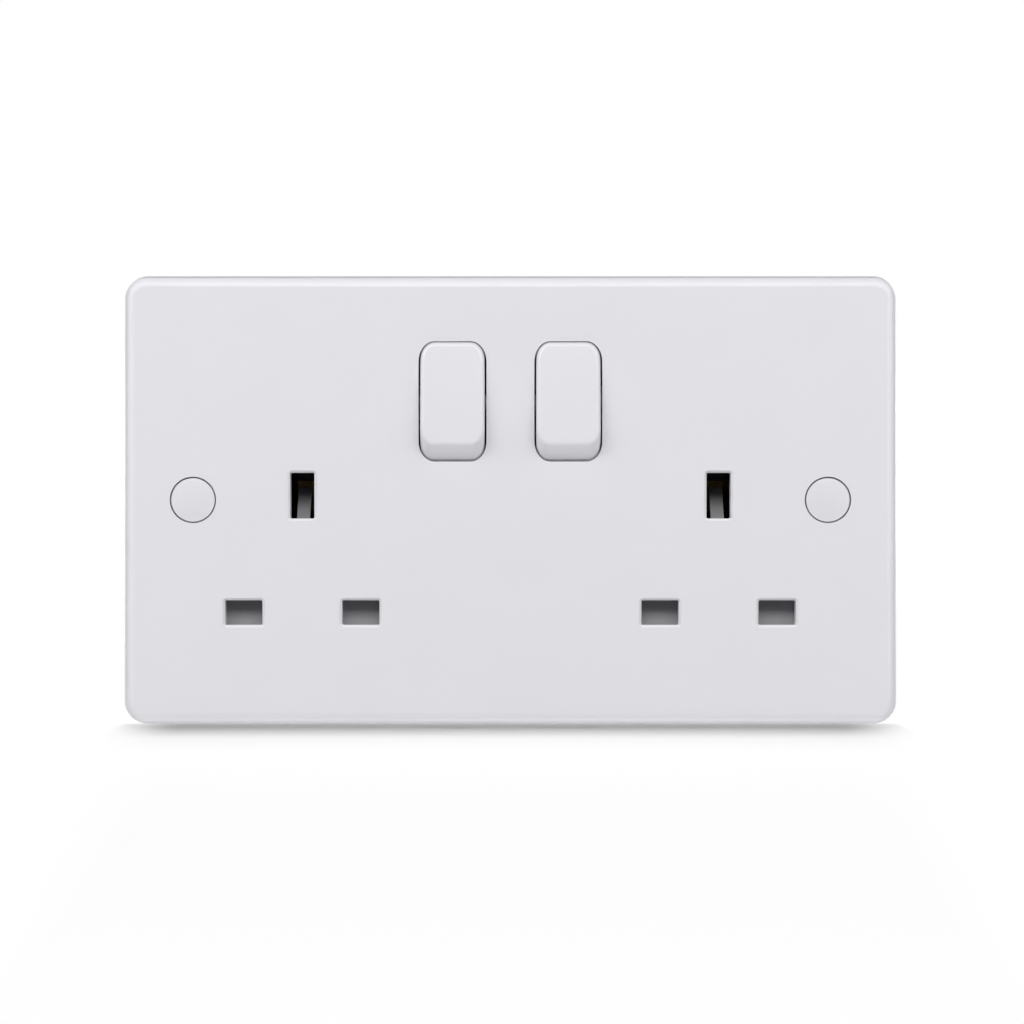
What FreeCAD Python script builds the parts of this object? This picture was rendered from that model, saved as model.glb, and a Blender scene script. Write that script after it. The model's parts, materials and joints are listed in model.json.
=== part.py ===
import FreeCAD, Part
import math
import os
from FreeCAD import Vector

# Twin switched wall socket, in millimetres. X runs right, Z up and Y into the wall.
# The wall plane is Y = 0 and the origin lies midway between the two fixing screws.

# Face plate
PLATE_W = 148.0
PLATE_H = 86.0
PLATE_PROJECTION = 9.0
PLATE_CORNER_R = 4.2
PLATE_EDGE_R = 2.0
PLATE_DRAFT = 0.7
FACE_T = 2.5
RIM_T = 2.2
RIB_T = 1.2
RIB_D = 2.5

# Outlets: pin slots behind each of which a spring clip sits
SOCKET_SPACING = 79.1
PIN_PITCH = 22.23
EARTH_Z = 0.8
LINE_SLOT_W = 7.1
LINE_SLOT_H = 4.7
EARTH_SLOT_W = 4.6
EARTH_SLOT_H = 8.7
SLOT_CHAMFER = 0.45
SLOT_CORNER_R = 0.3
DECK_T = 2.1
EARTH_PIN_LENGTH = 22.7
PIN_T = 4.0
EARTH_PIN_H = 8.0

# Rocker switches
ROCKER_SPACING = 22.0
ROCKER_Z = 18.7
ROCKER_W = 12.2
ROCKER_L = 22.0
ROCKER_PIVOT_DEPTH = 8.0
ROCKER_PROUD = 1.7
ROCKER_HALF_TILT = 8.0
ROCKER_CORNER_R = 2.7
ROCKER_EDGE_R = 0.9
ROCKER_WALL = 1.4
ROCKER_SKIRT = 2.5
TRUNNION_R = 1.5
CHEEK_R = 2.8
EAR_T = 1.8

# Spring plunger and see-saw contact behind each rocker
PLUNGER_R = 1.6
PLUNGER_TIP_R = 1.2
PLUNGER_TAIL = 1.0
PLUNGER_BORE_TOP = 5.5
STEM_WALL = 1.2
PLUNGER_SPRING_WIRE = 0.35
PLUNGER_SPRING_TURNS = 4
SEESAW_HALF_TILT = 6.0
SEESAW_W = 5.0
SEESAW_T = 1.0
SEESAW_ARM = 9.0
SEESAW_END = 1.6
SEESAW_DEPTH = 17.0
KNIFE_W = 2.0
TIP_R = 1.6
TIP_T = 0.7

# Shutters
SHUTTER_T = 1.6
SHUTTER_COVER = 0.85
SHUTTER_OPEN = 0.2
SHUTTER_WEB = 4.0
RAMP_W = 2.5
RAMP_T = 1.5
SPRING_R = 1.8
SPRING_WIRE = 0.4
SPRING_TURNS = 6
SPRING_LENGTH = 11.6
POST_T = 1.5
SEAT_T = 1.4
GUIDE_T = 1.4

# Contacts, straps and terminals
CLIP_T = 0.7
CLIP_W = 6.0
CLIP_EASE = 0.2
CLIP_FLARE = 0.8
CLIP_MOUTH = 1.6
STRAP_T = 0.8
STRAP_W = 4.4
LEVEL_STEP = 2.0
PIN_OVERRUN = 0.8
TERMINAL_W = 8.0
TERMINAL_H = 8.0
TERMINAL_D = 8.3
TERMINAL_PITCH = 9.5
CABLE_R = 2.6
CABLE_BACK = 4.9
TERMINAL_SCREW_R = 2.0
TERMINAL_HEAD_R = 3.0
TERMINAL_HEAD_T = 1.5
SLOT_W = 0.9
SLOT_D = 0.8

# Rear housing
SHOULDER_Z = 13.5
LUG_ROOM_X = 7.8
HOUSING_WALL = 1.8
FLOOR_T = 2.0
CHAMBER_WALL = 1.2
HOUSING_CORNER_R = 2.0
HOUSING_EDGE_R = 0.8
ENTRY_R = 3.0

# Screws and caps
FIXING_SPACING = 120.6
FIXING_THREAD_R = 1.75
FIXING_NECK_R = 1.5
FIXING_HOLE_R = 2.1
FIXING_HEAD_R = 3.2
FIXING_HEAD_T = 2.2
FIXING_CROWN_R = 0.7
FIXING_LENGTH = 25.0
FIXING_WEB = 3.0
PILLAR_R = 5.75
PILLAR_SETBACK = 0.5
CAP_R = 4.12
CAP_T = 1.5
CAP_DOME = 0.25
CAP_LEDGE = 0.65
HOUSING_SCREW_R = 1.45
HOUSING_HEAD_R = 2.8
HOUSING_HEAD_T = 1.8
HOUSING_SCREW_L = 6.0
SCREW_FLOOR_T = 2.5
BOSS_R = 3.2
PILOT_DEPTH = 0.5

# Clearances
ROCKER_GAP = 0.35
CAP_GAP = 0.3
RUNNING_GAP = 0.05
SLIDE_GAP = 0.15
STRAP_GAP = 0.3
SEAT_GAP = 0.1
THREAD_GAP = 0.05
CONTACT_GAP = 0.06
PLUNGER_GAP = 0.12
HEAD_GAP = 0.4
INSULATION = 1.0

# How far a cutter runs past the face it opens, and how near counts as level
OVERCUT = 1.0
SAME_LEVEL = 1e-4

# Levels along Y, worked out from the sizes above
FACE_Y = -PLATE_PROJECTION
INNER_Y = FACE_Y + FACE_T
DECK_Y = INNER_Y + DECK_T
SHUTTER_FRONT = DECK_Y + SEAT_GAP
SHUTTER_BACK = SHUTTER_FRONT + SHUTTER_T
JOIN_Y = SHUTTER_BACK + SLIDE_GAP
PIVOT_Y = FACE_Y + ROCKER_PIVOT_DEPTH
FULCRUM_Y = FACE_Y + SEESAW_DEPTH
TIP_SWING = (SEESAW_ARM + TIP_R) * math.sin(math.radians(SEESAW_HALF_TILT))
FIXED_TIP_Y = FULCRUM_Y + TIP_T + TIP_SWING + CONTACT_GAP
LIVE_Y = FIXED_TIP_Y + TIP_T
NEUTRAL_Y = LIVE_Y + LEVEL_STEP
EARTH_Y = max(FACE_Y + EARTH_PIN_LENGTH + PIN_OVERRUN, NEUTRAL_Y + STRAP_T + INSULATION)
FLOOR_Y = EARTH_Y + STRAP_T
BACK_Y = FLOOR_Y + FLOOR_T
TERMINAL_BACK = FLOOR_Y - SLIDE_GAP
CABLE_Y = TERMINAL_BACK - CABLE_BACK

# Places across the face
LINE_Z = EARTH_Z - PIN_PITCH
SOCKET_X = {"left": -SOCKET_SPACING / 2, "right": SOCKET_SPACING / 2}
ROCKER_X = {"left": -ROCKER_SPACING / 2, "right": ROCKER_SPACING / 2}
FIXING_X = {"left": -FIXING_SPACING / 2, "right": FIXING_SPACING / 2}
SIDES = ("left", "right")
CLIP_HALF = PIN_T / 2 + CLIP_EASE / 2
CHAMBER_ACROSS = CLIP_HALF + CLIP_FLARE + CLIP_T + SEAT_GAP
CHAMBER_ALONG = LINE_SLOT_W / 2 + STRAP_GAP
EARTH_CHAMBER_ALONG = EARTH_SLOT_H / 2 + STRAP_GAP
LINE_CHAMBER_TOP = LINE_Z + CHAMBER_ACROSS + CHAMBER_WALL
EARTH_CHAMBER_FOOT = EARTH_Z - EARTH_CHAMBER_ALONG - CHAMBER_WALL
CORRIDOR_Z = (LINE_CHAMBER_TOP + EARTH_CHAMBER_FOOT) / 2
LIVE_RUN = SOCKET_SPACING / 2 - CHAMBER_ACROSS - CHAMBER_WALL - STRAP_GAP - STRAP_W / 2
TERMINALS = {
    "live": -1.5 * TERMINAL_PITCH,
    "earth_left": -0.5 * TERMINAL_PITCH,
    "earth_right": 0.5 * TERMINAL_PITCH,
    "neutral": 1.5 * TERMINAL_PITCH,
}
TERMINAL_TOP = CORRIDOR_Z - STRAP_W / 2 - INSULATION
TERMINAL_Z = TERMINAL_TOP - TERMINAL_H / 2
BAY_TOP = TERMINAL_Z - TERMINAL_H / 2 - SLIDE_GAP - HOUSING_WALL

# Rocker drum, struck about the pivot so that its ends keep one gap to the plate
DRUM_R = math.hypot(ROCKER_PIVOT_DEPTH, ROCKER_L / 2)
ROCKER_FACE_U = ROCKER_PIVOT_DEPTH + ROCKER_PROUD
ROCKER_END_ANGLE = math.degrees(math.acos((ROCKER_PIVOT_DEPTH - ROCKER_SKIRT) / DRUM_R))
PLUNGER_REACH = FULCRUM_Y - RUNNING_GAP - SEESAW_T - PLUNGER_GAP - PIVOT_Y

# Shutter travel: the blades drop clear of the slots, and the earth ramp clear of its pin
SHUTTER_TRAVEL = LINE_SLOT_H + SHUTTER_COVER + SHUTTER_OPEN
BLADE_TOP = LINE_Z + LINE_SLOT_H / 2 + SHUTTER_COVER
BLADE_BOTTOM = LINE_Z - LINE_SLOT_H / 2 - SHUTTER_COVER
BLADE_OUTER = PIN_PITCH / 2 + LINE_SLOT_W / 2 + SHUTTER_COVER
RAMP_FOOT = EARTH_Z - EARTH_SLOT_H / 2 - SEAT_GAP
RAMP_TOP = EARTH_Z - EARTH_PIN_H / 2 - SEAT_GAP + SHUTTER_TRAVEL
SPRING_OUTER = SPRING_R + SPRING_WIRE / 2
SPRING_Y = SHUTTER_FRONT + SPRING_OUTER
WINDOW_HALF = SPRING_OUTER + STRAP_GAP
WINDOW_FLOOR = BLADE_BOTTOM + SHUTTER_COVER + SEAT_T
POST_FOOT = WINDOW_FLOOR + SEAT_GAP
POST_TOP = POST_FOOT + POST_T
WINDOW_TOP = POST_TOP + SPRING_LENGTH + 2 * RUNNING_GAP
DECK_HALF = BLADE_OUTER + SLIDE_GAP + GUIDE_T
DECK_BOTTOM = BLADE_BOTTOM - SHUTTER_TRAVEL - SHUTTER_COVER

# Rear housing outline and the screws that draw it up to the plate
HOUSING_HALF = SOCKET_SPACING / 2 + DECK_HALF + HOUSING_WALL
HOUSING_TOP = ROCKER_Z + DRUM_R + HOUSING_WALL
HOUSING_BOTTOM = DECK_BOTTOM - HOUSING_WALL
NOTCH_HALF = FIXING_SPACING / 2 - LUG_ROOM_X
NOTCH_FOOT = CORRIDOR_Z + STRAP_W / 2 + STRAP_GAP + HOUSING_WALL
SWITCH_BLOCK_HALF = LIVE_RUN + STRAP_W / 2 + STRAP_GAP + HOUSING_WALL
BAY_HALF = 2 * TERMINAL_PITCH + CHAMBER_WALL
TUBE_R = HOUSING_HEAD_R + HEAD_GAP + CHAMBER_WALL
EAR_OUTER = ROCKER_SPACING / 2 + ROCKER_W / 2 + ROCKER_GAP + EAR_T
MIDDLE_SCREW_X = (EAR_OUTER + LIVE_RUN - STRAP_W / 2) / 2
HOUSING_SCREWS = (
    (0.0, HOUSING_TOP - TUBE_R),
    (-MIDDLE_SCREW_X, SHOULDER_Z - TUBE_R),
    (MIDDLE_SCREW_X, SHOULDER_Z - TUBE_R),
    (TUBE_R - NOTCH_HALF, SHOULDER_Z - TUBE_R),
    (NOTCH_HALF - TUBE_R, SHOULDER_Z - TUBE_R),
)

AXIS_X = Vector(1, 0, 0)
AXIS_Y = Vector(0, 1, 0)
AXIS_Z = Vector(0, 0, 1)


# Plain shapes
def box(x0, x1, y0, y1, z0, z1):
    return Part.makeBox(x1 - x0, y1 - y0, z1 - z0, Vector(x0, y0, z0))


def block_about(x, z, half_x, half_z, y0, y1):
    return box(x - half_x, x + half_x, y0, y1, z - half_z, z + half_z)


def rod_x(x0, x1, y, z, r):
    return Part.makeCylinder(r, x1 - x0, Vector(x0, y, z), AXIS_X)


def rod_y(x, z, r, y0, y1):
    return Part.makeCylinder(r, y1 - y0, Vector(x, y0, z), AXIS_Y)


def rod_z(x, y, r, z0, z1):
    return Part.makeCylinder(r, z1 - z0, Vector(x, y, z0), AXIS_Z)


def joined(first, others):
    return first.fuse(others).removeSplitter()


def edges_at(shape, y):
    """The edges that lie wholly at one depth."""
    return [e for e in shape.Edges if abs(e.BoundBox.YMin - y) + e.BoundBox.YLength < SAME_LEVEL]


def rounded_outline(points, radius, y):
    """A closed outline at one depth, each corner of which is an arc."""
    corners = [Vector(x, y, z) for x, z in points]
    edges = []
    ends = []
    for i, corner in enumerate(corners):
        back = (corners[i - 1] - corner).normalize()
        ahead = (corners[(i + 1) % len(corners)] - corner).normalize()
        half_angle = back.getAngle(ahead) / 2
        reach = radius / math.tan(half_angle)
        middle = (back + ahead).normalize()
        centre = corner + middle * (radius / math.sin(half_angle))
        start = corner + back * reach
        finish = corner + ahead * reach
        arc = Part.Arc(start, centre - middle * radius, finish)
        edges.append(arc.toShape())
        ends.append((start, finish))
    lines = []
    for i, (start, finish) in enumerate(ends):
        following = ends[(i + 1) % len(ends)][0]
        lines.append(edges[i])
        lines.append(Part.makeLine(finish, following))
    return Part.Wire(lines)


def rectangle(x, z, width, height):
    left = x - width / 2
    right = x + width / 2
    low = z - height / 2
    high = z + height / 2
    return [(left, low), (right, low), (right, high), (left, high)]


def tapered(x, z, size_a, radius_a, y_a, size_b, radius_b, y_b):
    """A rounded rectangle at one depth drawn out to another at a second depth."""
    wire_a = rounded_outline(rectangle(x, z, *size_a), radius_a, y_a)
    wire_b = rounded_outline(rectangle(x, z, *size_b), radius_b, y_b)
    return Part.makeLoft([wire_a, wire_b], True, True)


def prism_x(points_yz, x0, x1):
    wire = Part.makePolygon([Vector(x0, y, z) for y, z in points_yz + points_yz[:1]])
    return Part.Face(wire).extrude(Vector(x1 - x0, 0, 0))


def prism_y(wire, y0, y1):
    face = Part.Face(wire)
    face.translate(Vector(0, y0 - face.BoundBox.YMin, 0))
    return face.extrude(Vector(0, y1 - y0, 0))


def coil(radius, wire_size, length, turns):
    """A compression spring that stands on Z = 0, its wire square in section."""
    half = wire_size / 2
    path = Part.makeHelix((length - wire_size) / turns, length - wire_size, radius)
    corners = [(-half, -half), (half, -half), (half, half), (-half, half), (-half, -half)]
    section = Part.makePolygon([Vector(radius + a, 0, b) for a, b in corners])
    spring = Part.Wire(path.Edges).makePipeShell([section], True, True)
    spring.translate(Vector(0, 0, half))
    return spring


def turned(shape, x, y, z, degrees):
    """A piece built about the origin, tilted about X and set at its pivot."""
    tilted = shape.copy()
    tilted.rotate(Vector(0, 0, 0), AXIS_X, degrees)
    tilted.translate(Vector(x, y, z))
    return tilted


# Rocker
def drum(grow):
    """The round body swept by the rocker's ends, about the pivot as the X axis."""
    half = ROCKER_W / 2 + grow
    radius = DRUM_R + grow
    corner = ROCKER_CORNER_R + grow
    slant = corner * math.sqrt(0.5)
    left_low = Vector(-half, 0, 0)
    left_high = Vector(-half, 0, radius - corner)
    left_mid = Vector(-half + corner - slant, 0, radius - corner + slant)
    left_end = Vector(-half + corner, 0, radius)
    right_end = Vector(half - corner, 0, radius)
    right_mid = Vector(half - corner + slant, 0, radius - corner + slant)
    right_high = Vector(half, 0, radius - corner)
    right_low = Vector(half, 0, 0)
    outline = Part.Wire([
        Part.makeLine(left_low, left_high),
        Part.Arc(left_high, left_mid, left_end).toShape(),
        Part.makeLine(left_end, right_end),
        Part.Arc(right_end, right_mid, right_high).toShape(),
        Part.makeLine(right_high, right_low),
        Part.makeLine(right_low, left_low),
    ])
    return Part.Face(outline).revolve(Vector(0, 0, 0), AXIS_X, 360)


def fan(reach, face_u, root, half_width, end_angle):
    """Side outline of the rocker: a fan from the pivot out to its front face."""
    angle = math.radians(end_angle)
    tip_u = reach * math.cos(angle)
    tip_v = reach * math.sin(angle)
    outline = [
        (root, -root),
        (-tip_u, -tip_v),
        (-face_u, -tip_v),
        (-face_u, tip_v),
        (-tip_u, tip_v),
        (root, root),
    ]
    return prism_x(outline, -half_width, half_width)


def rocker_shape():
    reach = DRUM_R + OVERCUT
    outer = drum(0).common(fan(reach, ROCKER_FACE_U, CHEEK_R, ROCKER_W, ROCKER_END_ANGLE))
    outer = outer.makeFillet(ROCKER_EDGE_R, edges_at(outer, -ROCKER_FACE_U))
    room = drum(-ROCKER_WALL).common(
        fan(2 * reach, ROCKER_FACE_U - ROCKER_WALL, 2 * CHEEK_R, ROCKER_W, ROCKER_END_ANGLE)
    )
    stem_r = PLUNGER_R + RUNNING_GAP + STEM_WALL
    stem = rod_y(0, 0, stem_r, -ROCKER_FACE_U + ROCKER_WALL / 2, CHEEK_R)
    trunnion = rod_x(-ROCKER_W / 2 - EAR_T, ROCKER_W / 2 + EAR_T, 0, 0, TRUNNION_R)
    inside = ROCKER_W / 2 - ROCKER_WALL
    trunnion = trunnion.cut(block_about(0, 0, inside, CHEEK_R, -CHEEK_R, CHEEK_R))
    bore = rod_y(0, 0, PLUNGER_R + RUNNING_GAP, -PLUNGER_BORE_TOP, 2 * CHEEK_R)
    return joined(outer.cut(room), [stem, trunnion]).cut(bore)


def plunger_shape():
    tip_at = PLUNGER_REACH - PLUNGER_TIP_R
    neck = Part.makeCone(PLUNGER_R, PLUNGER_TIP_R, PLUNGER_R, Vector(0, tip_at - PLUNGER_R, 0), AXIS_Y)
    tip = Part.makeSphere(PLUNGER_TIP_R, Vector(0, tip_at, 0))
    return joined(rod_y(0, 0, PLUNGER_R, -PLUNGER_TAIL, tip_at - PLUNGER_R), [neck, tip])


def plunger_spring_shape():
    length = PLUNGER_BORE_TOP - PLUNGER_TAIL - 2 * RUNNING_GAP
    radius = PLUNGER_R - PLUNGER_SPRING_WIRE
    spring = coil(radius, PLUNGER_SPRING_WIRE, length, PLUNGER_SPRING_TURNS)
    spring.rotate(Vector(0, 0, 0), AXIS_X, -90)
    spring.translate(Vector(0, -PLUNGER_BORE_TOP + RUNNING_GAP, 0))
    return spring


# See-saw contact, about its knife edge as the X axis
def seesaw_shape():
    long_end = SEESAW_ARM + TIP_R + SEESAW_END / 2
    blade = box(-SEESAW_W / 2, SEESAW_W / 2, -SEESAW_T, 0, -SEESAW_ARM, long_end)
    ends = [e for e in blade.Edges if e.BoundBox.YLength > SEESAW_T / 2]
    blade = blade.makeFillet(SEESAW_END, ends)
    blade.translate(Vector(0, -RUNNING_GAP, 0))
    return blade


def moving_tip_shape():
    return rod_y(0, SEESAW_ARM, TIP_R, -RUNNING_GAP, TIP_T - RUNNING_GAP)


# Face plate
def plate_shell():
    rim = (PLATE_W, PLATE_H)
    face = (PLATE_W - 2 * PLATE_DRAFT, PLATE_H - 2 * PLATE_DRAFT)
    outer = tapered(0, 0, rim, PLATE_CORNER_R, 0, face, PLATE_CORNER_R, FACE_Y)
    outer = outer.makeFillet(PLATE_EDGE_R, edges_at(outer, FACE_Y))
    room_rim = (PLATE_W - 2 * RIM_T, PLATE_H - 2 * RIM_T)
    room_face = (room_rim[0] - 2 * PLATE_DRAFT, room_rim[1] - 2 * PLATE_DRAFT)
    room_r = PLATE_CORNER_R - RIM_T
    return outer.cut(tapered(0, 0, room_rim, room_r, 0, room_face, room_r, INNER_Y))


def slot_cutter(x, z, width, height):
    through = tapered(
        x, z, (width, height), SLOT_CORNER_R, FACE_Y - OVERCUT, (width, height), SLOT_CORNER_R, JOIN_Y
    )
    wide = (width + 2 * SLOT_CHAMFER, height + 2 * SLOT_CHAMFER)
    lead = tapered(
        x, z, wide, SLOT_CORNER_R + SLOT_CHAMFER, FACE_Y,
        (width, height), SLOT_CORNER_R, FACE_Y + SLOT_CHAMFER,
    )
    return [through, lead]


def shutter_deck(x):
    """Thick bed behind one outlet, with the shutter's guides and the post under its spring."""
    deck_top = EARTH_Z + EARTH_CHAMBER_ALONG + CHAMBER_WALL
    deck = box(x - DECK_HALF, x + DECK_HALF, INNER_Y, DECK_Y, DECK_BOTTOM, deck_top)
    guides = [
        box(near, near + GUIDE_T, DECK_Y, JOIN_Y, DECK_BOTTOM, BLADE_TOP)
        for near in (x - DECK_HALF, x + DECK_HALF - GUIDE_T)
    ]
    post_half = WINDOW_HALF - SLIDE_GAP
    post = box(x - post_half, x + post_half, DECK_Y, SPRING_Y + SPRING_OUTER, POST_FOOT, POST_TOP)
    return [deck, post] + guides


def bearing_ears(x):
    """Two forked ears that carry one rocker's trunnions, open to the rear."""
    half = TRUNNION_R + RUNNING_GAP
    inner = ROCKER_W / 2 + ROCKER_GAP
    ear_back = PIVOT_Y + TRUNNION_R + SLIDE_GAP
    ears = []
    for near in (x - inner - EAR_T, x + inner):
        ear = box(near, near + EAR_T, INNER_Y, ear_back, ROCKER_Z - 2 * half, ROCKER_Z + 2 * half)
        fork = box(near, near + EAR_T, PIVOT_Y, ear_back, ROCKER_Z - half, ROCKER_Z + half)
        eye = rod_x(near, near + EAR_T, PIVOT_Y, ROCKER_Z, half)
        ears.append(ear.cut([fork, eye]))
    return ears


def fixing_cutters(x):
    """Stepped hole of one fixing screw: cap recess, head bore and clearance hole."""
    recess_r = CAP_R + CAP_GAP
    ledge_y = FACE_Y + CAP_T
    seat_y = -PILLAR_SETBACK - FIXING_WEB
    return [
        rod_y(x, 0, recess_r, FACE_Y - OVERCUT, ledge_y),
        rod_y(x, 0, recess_r - CAP_LEDGE, FACE_Y - OVERCUT, seat_y),
        rod_y(x, 0, FIXING_HOLE_R, FACE_Y, OVERCUT),
    ]


def pillar_ribs(x):
    """Stiffening ribs from one fixing pillar out to the rim of the plate."""
    half = RIB_T / 2
    reach_z = PLATE_H / 2 - RIM_T / 2 - PLATE_DRAFT
    reach_x = math.copysign(PLATE_W / 2 - RIM_T / 2 - PLATE_DRAFT, x)
    upright = box(x - half, x + half, INNER_Y, INNER_Y + RIB_D, -reach_z, reach_z)
    across = box(min(x, reach_x), max(x, reach_x), INNER_Y, INNER_Y + RIB_D, -half, half)
    return [upright, across]


def front_plate():
    additions = []
    cuts = []
    for side in SIDES:
        socket = SOCKET_X[side]
        additions += shutter_deck(socket)
        cuts += slot_cutter(socket, EARTH_Z, EARTH_SLOT_W, EARTH_SLOT_H)
        for offset in (-PIN_PITCH / 2, PIN_PITCH / 2):
            cuts += slot_cutter(socket + offset, LINE_Z, LINE_SLOT_W, LINE_SLOT_H)
        additions += bearing_ears(ROCKER_X[side])
        cuts.append(turned(drum(ROCKER_GAP), ROCKER_X[side], PIVOT_Y, ROCKER_Z, 0))
        additions.append(rod_y(FIXING_X[side], 0, PILLAR_R, INNER_Y, -PILLAR_SETBACK))
        additions += pillar_ribs(FIXING_X[side])
        cuts += fixing_cutters(FIXING_X[side])
    for x, z in HOUSING_SCREWS:
        additions.append(rod_y(x, z, BOSS_R, INNER_Y, JOIN_Y))
        cuts.append(rod_y(x, z, HOUSING_SCREW_R + THREAD_GAP, INNER_Y - PILOT_DEPTH, JOIN_Y + OVERCUT))
    return joined(plate_shell(), additions).cut(cuts)


def screw_cap(x):
    foot = rod_y(x, 0, CAP_R, FACE_Y + CAP_DOME, FACE_Y + CAP_T)
    sphere_r = (CAP_R ** 2 + CAP_DOME ** 2) / (2 * CAP_DOME)
    dome = Part.makeSphere(sphere_r, Vector(x, FACE_Y + sphere_r, 0))
    dome = dome.common(rod_y(x, 0, CAP_R, FACE_Y - OVERCUT, FACE_Y + CAP_DOME))
    return joined(foot, [dome])


# Shutter
def shutter(x):
    """Blades over the two lower slots, carried by a web that the earth pin's ramp pushes down."""
    front = SHUTTER_FRONT
    back = SHUTTER_BACK
    blades = box(x - BLADE_OUTER, x + BLADE_OUTER, front, back, BLADE_BOTTOM, BLADE_TOP)
    web_half = WINDOW_HALF + SHUTTER_WEB
    web = box(x - web_half, x + web_half, front, back, BLADE_BOTTOM, WINDOW_TOP)
    window = box(x - WINDOW_HALF, x + WINDOW_HALF, front, back, WINDOW_FLOOR, WINDOW_TOP)
    spring_back = SPRING_Y + SPRING_OUTER
    seat = box(x - web_half, x + web_half, front, back, WINDOW_TOP, WINDOW_TOP + SEAT_T)
    shelf = box(x - WINDOW_HALF, x + WINDOW_HALF, front, spring_back, WINDOW_TOP, WINDOW_TOP + SEAT_T)
    neck = box(x - RAMP_W / 2, x + RAMP_W / 2, front, back, WINDOW_TOP, RAMP_FOOT)
    step = RAMP_T * math.sqrt(0.5)
    rise = RAMP_TOP - RAMP_FOOT
    slope = [
        (front, RAMP_FOOT),
        (front + rise, RAMP_TOP),
        (front + rise + step, RAMP_TOP - step),
        (front + step, RAMP_FOOT - step),
        (front, RAMP_FOOT - step),
    ]
    ramp = prism_x(slope, x - RAMP_W / 2, x + RAMP_W / 2)
    return joined(joined(blades, [web]).cut(window), [seat, shelf, neck, ramp])


def shutter_spring(x):
    spring = coil(SPRING_R, SPRING_WIRE, SPRING_LENGTH, SPRING_TURNS)
    spring.translate(Vector(x, SPRING_Y, POST_TOP + RUNNING_GAP))
    return spring


# Contacts
def clip_leaf(level, mouth):
    """Section of one clip leaf as depth and distance from the pin's middle."""
    flare_y = mouth + CLIP_MOUTH
    return [
        (level, CLIP_HALF),
        (flare_y, CLIP_HALF),
        (mouth, CLIP_HALF + CLIP_FLARE),
        (mouth, CLIP_HALF + CLIP_FLARE + CLIP_T),
        (flare_y, CLIP_HALF + CLIP_T),
        (level, CLIP_HALF + CLIP_T),
    ]


def clip(x, z, level, mouth, quarter_turns):
    """Two flared leaves on a base that lies on its strap, about the pin's axis."""
    upper = prism_x(clip_leaf(level, mouth), -CLIP_W / 2, CLIP_W / 2)
    lower = upper.mirror(Vector(0, 0, 0), AXIS_Z)
    base = block_about(0, 0, CLIP_W / 2, CLIP_HALF + CLIP_T, level - CLIP_T, level)
    whole = joined(base, [upper, lower])
    whole.rotate(Vector(0, 0, 0), AXIS_Y, 90 * quarter_turns)
    whole.translate(Vector(x, 0, z))
    return whole


def strip(path, width, y0, y1):
    """A flat strap along square turns, given as points on its middle line."""
    half = width / 2
    runs = []
    for (xa, za), (xb, zb) in zip(path, path[1:]):
        left = min(xa, xb) - half
        right = max(xa, xb) + half
        low = min(za, zb) - half
        high = max(za, zb) + half
        runs.append(box(left, right, y0, y1, low, high))
    return joined(runs[0], runs[1:]) if len(runs) > 1 else runs[0]


def strap_paths():
    """Middle lines of every strap, with the level of its front face."""
    contact_z = ROCKER_Z + SEESAW_ARM
    runs = {"left": -LIVE_RUN, "right": LIVE_RUN}
    neutral_left = SOCKET_X["left"] - PIN_PITCH / 2
    neutral_right = SOCKET_X["right"] - PIN_PITCH / 2
    paths = {}
    for side in SIDES:
        live_x = SOCKET_X[side] + PIN_PITCH / 2
        run_x = runs[side]
        paths["live_strap_" + side] = (LIVE_Y, [[
            (live_x, LINE_Z), (live_x, CORRIDOR_Z), (run_x, CORRIDOR_Z),
            (run_x, contact_z), (ROCKER_X[side], contact_z),
        ]])
    bar_end = STRAP_W / 2
    paths["live_busbar"] = (LIVE_Y, [
        [(TERMINALS["live"], TERMINAL_TOP + bar_end), (TERMINALS["live"], ROCKER_Z)],
        [(TERMINALS["live"], ROCKER_Z), (ROCKER_X["right"], ROCKER_Z)],
    ])
    paths["neutral_strap"] = (NEUTRAL_Y, [
        [(neutral_left, LINE_Z), (neutral_left, CORRIDOR_Z), (neutral_right, CORRIDOR_Z),
         (neutral_right, LINE_Z)],
        [(TERMINALS["neutral"], CORRIDOR_Z), (TERMINALS["neutral"], TERMINAL_TOP + bar_end)],
    ])
    paths["earth_strap"] = (EARTH_Y, [
        [(SOCKET_X["left"], EARTH_Z), (SOCKET_X["right"], EARTH_Z)],
        [(TERMINALS["earth_left"], EARTH_Z), (TERMINALS["earth_left"], TERMINAL_TOP + bar_end)],
        [(TERMINALS["earth_right"], EARTH_Z), (TERMINALS["earth_right"], TERMINAL_TOP + bar_end)],
    ])
    return paths


def strap(level, runs):
    pieces = [strip(run, STRAP_W, level, level + STRAP_T) for run in runs]
    return joined(pieces[0], pieces[1:]) if len(pieces) > 1 else pieces[0]


def strap_channel(level, runs):
    """Room that a strap needs to drop in from the front."""
    return [strip(run, STRAP_W + 2 * STRAP_GAP, JOIN_Y - OVERCUT, level + STRAP_T) for run in runs]


def live_busbar(level, runs):
    """Flat bar with a knife edge under each see-saw."""
    edges = []
    for side in SIDES:
        x = ROCKER_X[side]
        edge = [(FULCRUM_Y, ROCKER_Z), (level, ROCKER_Z - KNIFE_W / 2), (level, ROCKER_Z + KNIFE_W / 2)]
        edges.append(prism_x(edge, x - SEESAW_W / 2, x + SEESAW_W / 2))
    return joined(strap(level, runs), edges)


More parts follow.
